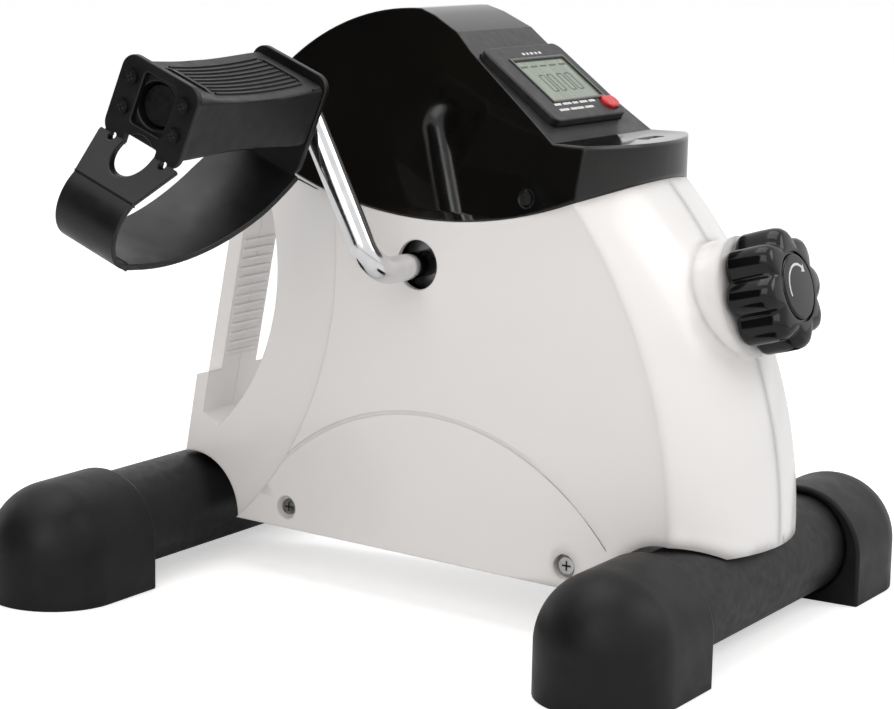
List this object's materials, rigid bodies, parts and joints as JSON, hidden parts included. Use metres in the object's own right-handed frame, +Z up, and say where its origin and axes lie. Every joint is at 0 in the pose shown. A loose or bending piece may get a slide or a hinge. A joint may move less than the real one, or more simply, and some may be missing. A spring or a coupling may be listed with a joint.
{
  "type": "pedal exerciser",
  "caption": "Floor-standing pedal exerciser: wedge housing on crossbars, bent crank with strapped pedals, friction drum, tension knob and clip-in meter.",
  "frame": {"origin": "centre of the overall box, on the floor", "axes": "+X across the machine towards the right side as seen by the user, -Y towards the user and the tension knob, +Z up"},
  "size_m": [0.4336, 0.3694, 0.2885],
  "materials": {
    "white_abs": "fine moulded, gloss",
    "black_gloss": "high gloss",
    "zinc_screw": "zinc plated",
    "black_screw": "black oxide",
    "black_paint": "satin powder coat",
    "foot_rubber": "matte moulded",
    "bearing_steel": "ground",
    "band_fabric": "woven",
    "sensor_plastic": "moulded",
    "hub_steel": "turned",
    "drum_iron": "turned rim",
    "magnet_metal": "plated",
    "crank_chrome": "bright chrome plate",
    "pedal_plastic": "satin moulded, ribbed",
    "strap_rubber": "semi-gloss moulded",
    "knob_plastic": "gloss",
    "slider_brass": "machined",
    "meter_plastic": "satin with a glossy lip",
    "lcd_window": "clear lens over grey-green panel",
    "red_button": "moulded"
  },
  "bodies": {
    "frame": {"left_shell": "white_abs", "right_shell": "white_abs", "top_cover": "black_gloss", "shell_screws": "zinc_screw", "cover_screws": "black_screw", "front_crossbar": "black_paint", "rear_crossbar": "black_paint", "front_left_foot_cap": "foot_rubber", "front_right_foot_cap": "foot_rubber", "rear_left_foot_cap": "foot_rubber", "rear_right_foot_cap": "foot_rubber", "base_rail": "black_paint", "crossbar_bolts": "zinc_screw", "axle_bracket": "black_paint", "axle_bearings": "bearing_steel", "friction_band": "band_fabric", "speed_sensor": "sensor_plastic", "meter_case": "meter_plastic", "lcd_window": "lcd_window"},
    "crank": {"crank_hub": "hub_steel", "friction_drum": "drum_iron", "drum_magnet": "magnet_metal", "left_crank_arm": "crank_chrome", "right_crank_arm": "crank_chrome", "left_spindle_nut": "black_screw", "right_spindle_nut": "black_screw"},
    "left_pedal": {"left_pedal_body": "pedal_plastic", "left_strap": "strap_rubber", "left_pedal_screws": "black_screw"},
    "right_pedal": {"right_pedal_body": "pedal_plastic", "right_strap": "strap_rubber", "right_pedal_screws": "black_screw"},
    "knob": {"tension_knob": "knob_plastic", "tension_screw": "zinc_screw"},
    "slider": {"tension_slider": "slider_brass"},
    "button": {"reset_button": "red_button"}
  },
  "joints": [
    {"name": "crank_spin", "type": "hinge", "parent": "frame", "child": "crank", "pos_m": [0, -0.0015, 0.168], "axis": [1, 0, 0], "continuous": true},
    {"name": "left_pedal_spin", "type": "hinge", "parent": "crank", "child": "left_pedal", "pos_m": [-0.15, 0.0407, 0.24975], "axis": [1, 0, 0], "continuous": true},
    {"name": "right_pedal_spin", "type": "hinge", "parent": "crank", "child": "right_pedal", "pos_m": [0.15, -0.0437, 0.08625], "axis": [1, 0, 0], "continuous": true},
    {"name": "knob_turn", "type": "hinge", "parent": "frame", "child": "knob", "pos_m": [0, -0.1665, 0.166], "axis": [0, -0.9613, 0.2756], "range_deg": [-720, 720]},
    {"name": "slider_travel", "type": "slide", "parent": "frame", "child": "slider", "axis": [0, -0.9613, 0.2756], "range_m": [-0.0031, 0.0031]},
    {"name": "reset_button_press", "type": "slide", "parent": "frame", "child": "button", "axis": [0, 0.6018, -0.7986], "range_m": [0, 0.001], "stiffness_N_per_m": 300}
  ],
  "couplings": [
    {"joint": "slider_travel", "follows": "knob_turn", "m_per_rad": 0.00023873}
  ]
}
